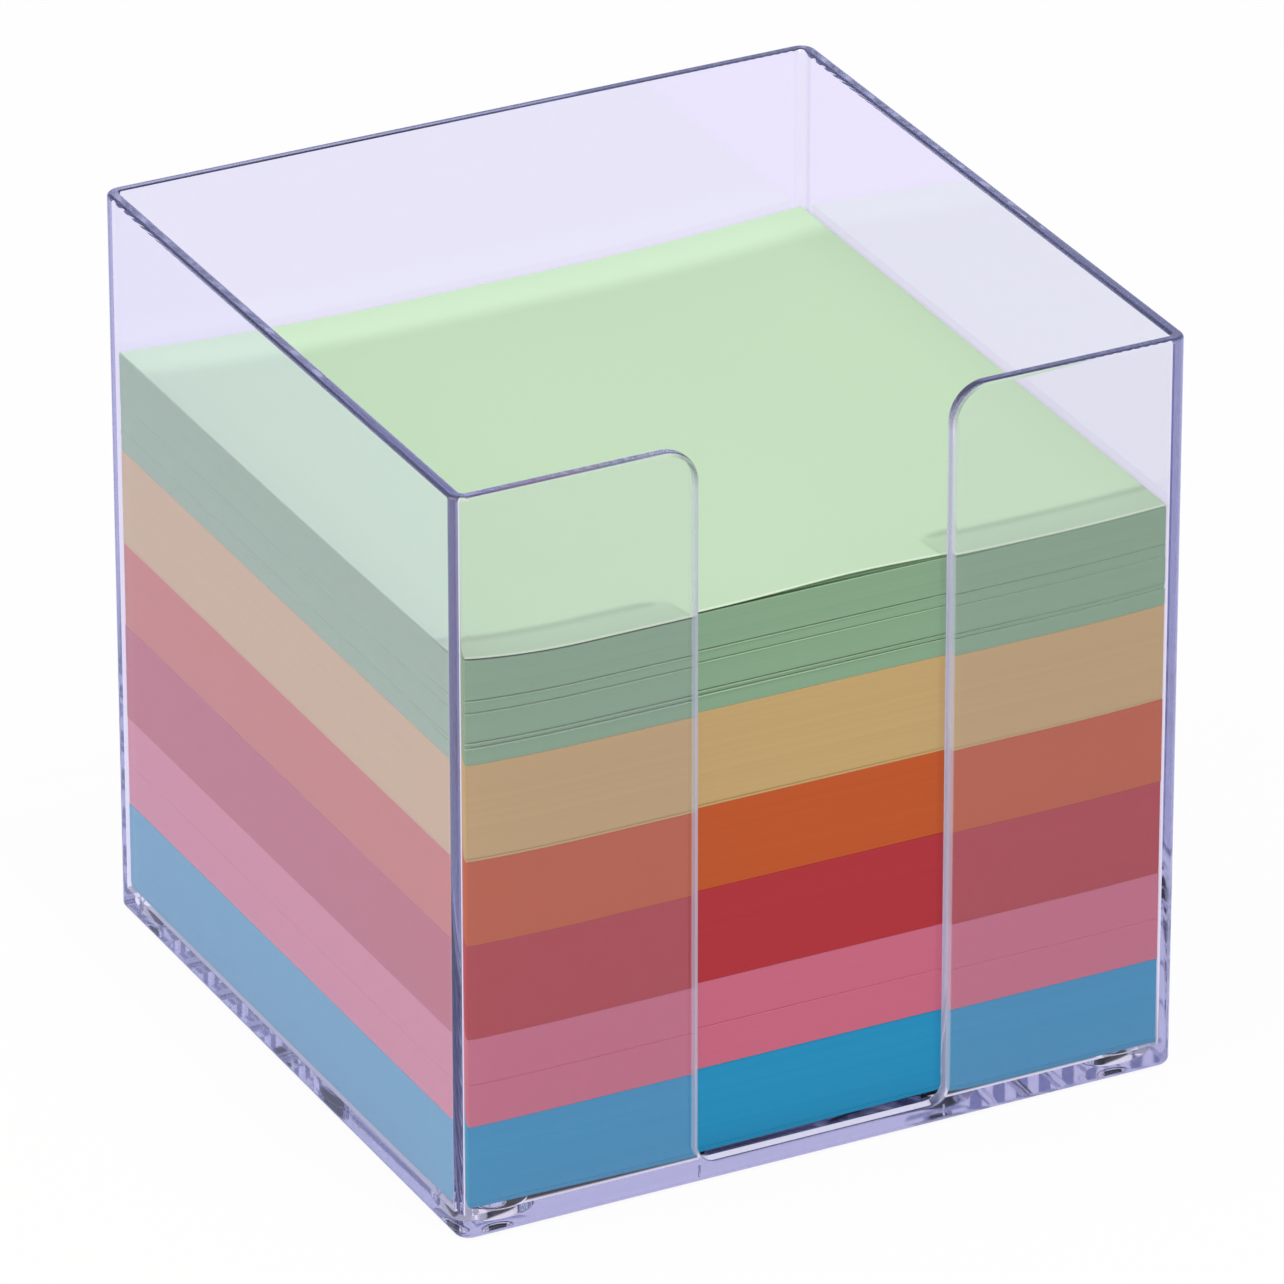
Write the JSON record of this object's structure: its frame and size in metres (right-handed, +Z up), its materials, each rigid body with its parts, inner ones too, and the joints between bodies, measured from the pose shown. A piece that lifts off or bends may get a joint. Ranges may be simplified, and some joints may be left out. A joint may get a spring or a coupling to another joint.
{
  "type": "memo cube box",
  "caption": "Clear open-top desk box with a thumb slot in its front wall, holding a stack of loose square note paper in bands of colour.",
  "frame": {"origin": "on the base plane, under the middle of the box", "axes": "+Z up, the front wall with the thumb slot faces -Y, +X to the right seen from the front"},
  "size_m": [0.094, 0.094, 0.095],
  "materials": {
    "clear_polystyrene": "clear crystal polystyrene, injection moulded and polished, faint violet tint",
    "paper_blue": "uncoated blue note paper, guillotine cut",
    "paper_pink": "uncoated pink note paper, guillotine cut",
    "paper_red": "uncoated red note paper, guillotine cut",
    "paper_orange": "uncoated orange note paper, guillotine cut",
    "paper_yellow": "uncoated yellow note paper, guillotine cut",
    "paper_green": "uncoated green note paper, guillotine cut"
  },
  "bodies": {
    "box": {"clear_box": "clear_polystyrene"},
    "blue_paper": {"blue_sheaf_1": "paper_blue", "blue_sheaf_2": "paper_blue"},
    "pink_paper": {"pink_sheaf_1": "paper_pink", "pink_sheaf_2": "paper_pink"},
    "red_paper": {"red_sheaf": "paper_red"},
    "orange_paper": {"orange_sheaf": "paper_orange"},
    "yellow_paper": {"yellow_sheaf_1": "paper_yellow", "yellow_sheaf_2": "paper_yellow"},
    "green_paper": {"green_sheaf_1": "paper_green", "green_sheaf_2": "paper_green", "green_sheaf_3": "paper_green", "green_sheaf_4": "paper_green", "green_sheaf_5": "paper_green"},
    "loose_sheet": {"top_sheet": "paper_green"}
  },
  "joints": [
    {"name": "blue_lift", "type": "slide", "parent": "box", "child": "blue_paper", "axis": [0, 0, 1], "range_m": [0, 0.0973]},
    {"name": "pink_lift", "type": "slide", "parent": "blue_paper", "child": "pink_paper", "axis": [0, 0, 1], "range_m": [0, 0.0862]},
    {"name": "red_lift", "type": "slide", "parent": "pink_paper", "child": "red_paper", "axis": [0, 0, 1], "range_m": [0, 0.0749]},
    {"name": "orange_lift", "type": "slide", "parent": "red_paper", "child": "orange_paper", "axis": [0, 0, 1], "range_m": [0, 0.0629]},
    {"name": "yellow_lift", "type": "slide", "parent": "orange_paper", "child": "yellow_paper", "axis": [0, 0, 1], "range_m": [0, 0.0522]},
    {"name": "green_lift", "type": "slide", "parent": "yellow_paper", "child": "green_paper", "axis": [0, 0, 1], "range_m": [0, 0.0399]},
    {"name": "top_sheet_lift", "type": "slide", "parent": "green_paper", "child": "loose_sheet", "axis": [0, 0, 1], "range_m": [0, 0.0272]}
  ]
}
